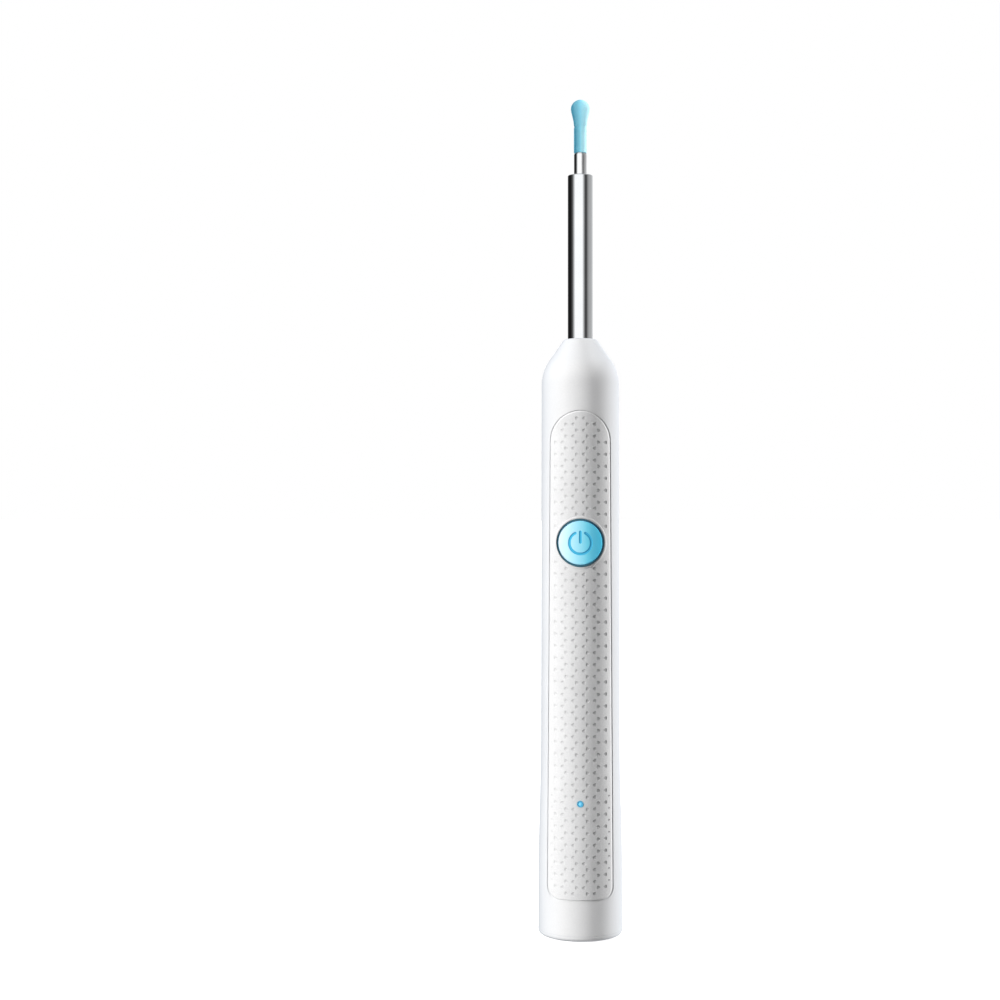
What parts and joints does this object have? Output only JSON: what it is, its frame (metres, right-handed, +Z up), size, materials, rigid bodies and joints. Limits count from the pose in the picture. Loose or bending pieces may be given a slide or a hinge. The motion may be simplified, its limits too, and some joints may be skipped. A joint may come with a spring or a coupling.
{
  "type": "ear wax cleaner",
  "caption": "Pen-shaped visual ear cleaner: slim battery handle with a power button, steel camera probe, and a soft spoon tip that pulls off; charges through its base.",
  "frame": {"origin": "centre of the base, on the surface that it stands on", "axes": "+Z up along the handle towards the probe, -Y out through the power button, +X to the right of someone looking at the button"},
  "size_m": [0.014, 0.014, 0.139],
  "materials": {
    "body_shell": "white ABS with a soft satin gloss",
    "grip_panel": "finely grained white with a pattern of tiny dimples",
    "adhesive_film": "clear to milky adhesive film",
    "button_blue": "pale blue, lightly polished, with an engraved power symbol",
    "bezel_metal": "dark teal plated metal",
    "light_pipe": "translucent blue",
    "probe_steel": "polished stainless steel",
    "barrel_steel": "polished stainless steel",
    "collar_brass": "turned brass",
    "screw_steel": "zinc-plated steel",
    "seal_rubber": "matt black silicone",
    "spoon_silicone": "translucent pale blue silicone",
    "lens_glass": "coated glass",
    "black_resin": "black moulding resin",
    "clear_resin": "clear acrylic",
    "white_board": "white solder mask",
    "led_white": "white package with pale yellow phosphor",
    "cable_film": "amber polyimide film",
    "ivory_nylon": "ivory nylon",
    "chassis_grey": "grey ABS",
    "board_green": "green solder mask on glass epoxy",
    "usb_steel": "drawn stainless steel",
    "contact_gold": "gold plate",
    "can_tin": "tin-plated nickel silver",
    "antenna_ceramic": "glazed blue-grey ceramic",
    "ferrite_grey": "sintered ferrite",
    "capacitor_tan": "fired ceramic",
    "cell_foil": "matt laminated foil",
    "foam_black": "closed-cell foam",
    "wire_red": "red silicone insulation",
    "wire_black": "black silicone insulation"
  },
  "bodies": {
    "handle": {"housing": "body_shell", "end_cap": "body_shell", "grip_panel": "grip_panel", "panel_adhesive": "adhesive_film", "button_bezel": "bezel_metal", "light_pipe": "light_pipe", "probe_tube": "probe_steel", "probe_ferrule": "probe_steel", "lens_barrel": "barrel_steel", "probe_collar": "collar_brass", "probe_set_screw": "screw_steel", "board_screws": "screw_steel", "neck_seal": "seal_rubber", "camera_lens": "lens_glass", "camera_module": "black_resin", "light_guide": "clear_resin", "led_board": "white_board", "light_leds": "led_white", "status_led": "led_white", "camera_cable": "cable_film", "cable_connector": "ivory_nylon", "battery_plug": "ivory_nylon", "battery_socket": "ivory_nylon", "chassis": "chassis_grey", "main_board": "board_green", "battery_board": "board_green", "tact_switch": "black_resin", "usb_shell": "usb_steel", "usb_tongue": "black_resin", "usb_contacts": "contact_gold", "shield_can": "can_tin", "wifi_chip": "black_resin", "flash_chip": "black_resin", "crystal": "can_tin", "antenna": "antenna_ceramic", "charger_chip": "black_resin", "power_inductor": "ferrite_grey", "motion_sensor": "black_resin", "capacitors": "capacitor_tan", "resistors": "black_resin", "battery_cell": "cell_foil", "battery_pad": "foam_black", "battery_wire_red": "wire_red", "battery_wire_black": "wire_black"},
    "button": {"power_button": "button_blue"},
    "plunger": {"switch_plunger": "black_resin"},
    "spoon": {"ear_spoon": "spoon_silicone"}
  },
  "joints": [
    {"name": "button_press", "type": "slide", "parent": "handle", "child": "button", "axis": [0, 1, 0], "range_m": [0, 0.0003], "stiffness_N_per_m": 4000},
    {"name": "plunger_press", "type": "slide", "parent": "handle", "child": "plunger", "axis": [0, 1, 0], "range_m": [0, 0.0003]},
    {"name": "tip_pull", "type": "slide", "parent": "handle", "child": "spoon", "axis": [0, 0, 1], "range_m": [0, 0.009]}
  ],
  "couplings": [
    {"joint": "plunger_press", "follows": "button_press", "ratio": 1}
  ]
}
